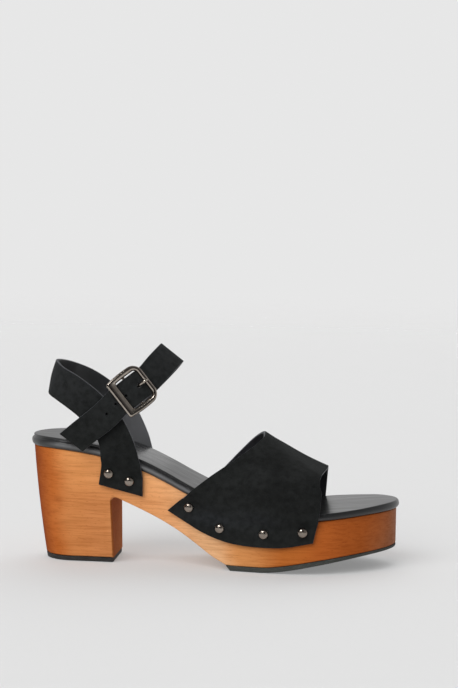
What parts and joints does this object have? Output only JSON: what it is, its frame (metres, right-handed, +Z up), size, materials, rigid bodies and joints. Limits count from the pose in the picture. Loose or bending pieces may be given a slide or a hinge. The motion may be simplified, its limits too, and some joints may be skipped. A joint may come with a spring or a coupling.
{
  "type": "heeled clog sandal",
  "caption": "Right-foot heeled clog sandal: sculpted wooden platform sole, leather footbed, wide nailed suede vamp, heel strap and buckled ankle strap, open toe and back.",
  "frame": {"origin": "on the floor, under the middle of the shoe's bounding box", "axes": "+X towards the toe, +Y towards the inner side of the right foot, +Z up; the buckle is on the -Y side"},
  "size_m": [0.24, 0.0898, 0.1411],
  "materials": {
    "wood": "waxed, fine straight grain along the shoe",
    "heel_rubber": "matte",
    "sole_rubber": "matte, slightly worn",
    "footbed_leather": "smooth, half gloss",
    "suede": "suede outside, smooth leather lining",
    "buckle_metal": "polished dark nickel",
    "stud_metal": "antique nickel, domed"
  },
  "bodies": {
    "root": {"wood_sole": "wood", "heel_lift": "heel_rubber", "outsole": "sole_rubber", "footbed": "footbed_leather", "vamp": "suede", "heel_and_ankle_strap": "suede", "buckle_tab": "suede", "buckle_frame": "buckle_metal", "buckle_prong": "buckle_metal", "stud_vamp_outer_1": "stud_metal", "stud_vamp_outer_2": "stud_metal", "stud_vamp_outer_3": "stud_metal", "stud_vamp_outer_4": "stud_metal", "stud_vamp_inner_1": "stud_metal", "stud_vamp_inner_2": "stud_metal", "stud_vamp_inner_3": "stud_metal", "stud_vamp_inner_4": "stud_metal", "stud_heel_strap_outer_1": "stud_metal", "stud_heel_strap_outer_2": "stud_metal", "stud_heel_strap_inner_1": "stud_metal", "stud_heel_strap_inner_2": "stud_metal"}
  },
  "joints": []
}
